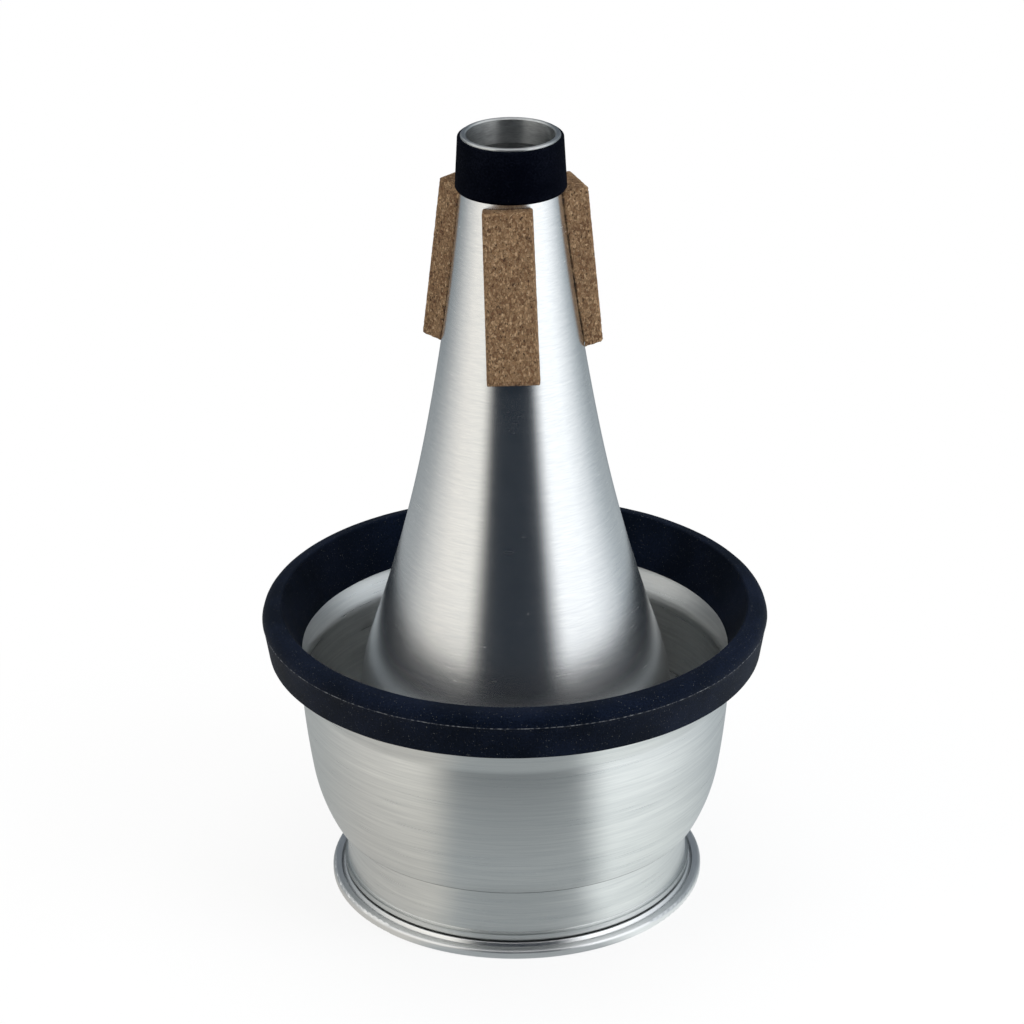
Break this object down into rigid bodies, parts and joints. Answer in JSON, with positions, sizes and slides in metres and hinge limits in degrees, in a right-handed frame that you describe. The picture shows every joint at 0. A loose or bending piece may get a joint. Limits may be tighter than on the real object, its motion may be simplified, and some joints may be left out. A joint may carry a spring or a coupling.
{
  "type": "trumpet cup mute",
  "caption": "Hollow flared metal mute held in a trumpet's bell by cork pads, with a rubber-rimmed metal cup that slides and turns on its straight foot and lifts off over the tip.",
  "frame": {"origin": "on the axis, on the floor plane under the rolled base, which is the centre of the bounding box's bottom", "axes": "+Z along the axis from the closed base to the open tip, -Y towards the picture's camera, +X to the picture's right"},
  "size_m": [0.123, 0.123, 0.194],
  "materials": {
    "spun_aluminium": "satin, with fine rings from turning",
    "sleeve_rubber": "matt moulded",
    "cork": "sanded natural agglomerated cork",
    "felt": "dense pressed felt",
    "rim_rubber": "smooth semi-matt moulded"
  },
  "bodies": {
    "mute": {"mute_body": "spun_aluminium", "base_cap": "spun_aluminium", "throat_ring": "spun_aluminium", "tip_sleeve": "sleeve_rubber", "cork_pad_front": "cork", "cork_pad_right": "cork", "cork_pad_left": "cork"},
    "carriage": {"collar_liner": "felt"},
    "cup": {"cup_shell": "spun_aluminium", "rim_ring": "rim_rubber"}
  },
  "joints": [
    {"name": "cup_slide", "type": "slide", "parent": "mute", "child": "carriage", "axis": [0, 0, 1], "range_m": [0, 0.195]},
    {"name": "cup_turn", "type": "hinge", "parent": "carriage", "child": "cup", "pos_m": [0, 0, 0.011], "axis": [0, 0, 1], "continuous": true}
  ]
}
